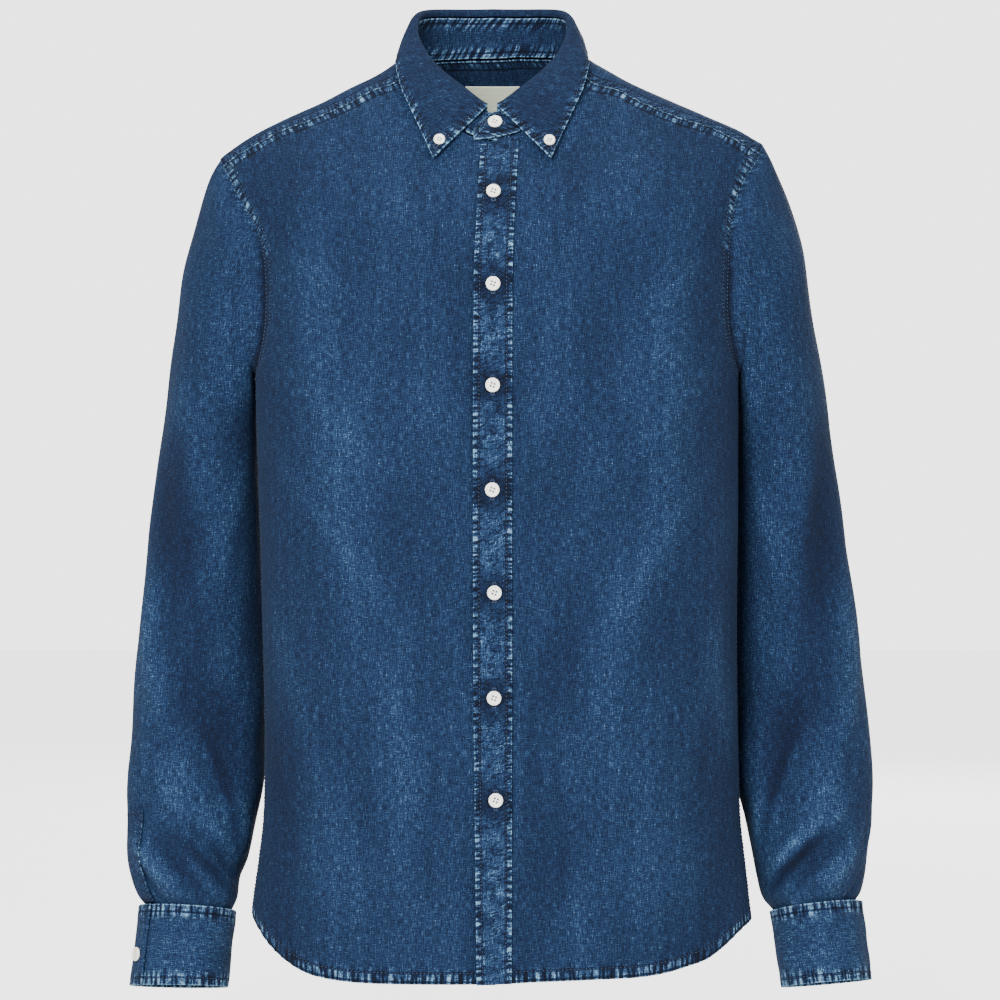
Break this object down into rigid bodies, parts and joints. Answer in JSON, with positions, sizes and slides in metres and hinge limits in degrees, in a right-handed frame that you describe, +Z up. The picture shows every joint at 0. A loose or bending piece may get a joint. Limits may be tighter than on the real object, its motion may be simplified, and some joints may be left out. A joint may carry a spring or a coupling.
{
  "type": "denim shirt",
  "caption": "Long-sleeved mid-blue denim shirt, buttoned, as it hangs filled out on a wearer with its sleeves down; button-down collar, front band, curved hem, cream buttons.",
  "frame": {"origin": "middle of the shoulders at the base of the neck, where a wearer carries the shirt", "axes": "+Z up, the front faces -Y, the wearer's right side at -X"},
  "size_m": [0.6165, 0.2398, 0.8162],
  "materials": {
    "denim": "washed mid-blue cotton denim",
    "label": "plain woven label",
    "button": "cream four-hole shirt button, soft shine"
  },
  "bodies": {
    "root": {"front_right": "denim", "front_left": "denim", "back": "denim", "yoke": "denim", "sleeve_right": "denim", "sleeve_left": "denim", "cuff_right": "denim", "cuff_left": "denim", "collar_stand": "denim", "collar_leaf": "denim", "front_band": "denim", "sleeve_placket_right": "denim", "sleeve_placket_left": "denim", "neck_label": "label", "button_1": "button", "button_2": "button", "button_3": "button", "button_4": "button", "button_5": "button", "button_6": "button", "button_7": "button", "button_stand": "button", "button_collar_right": "button", "button_collar_left": "button", "button_cuff_right": "button", "button_cuff_left": "button"}
  },
  "joints": []
}
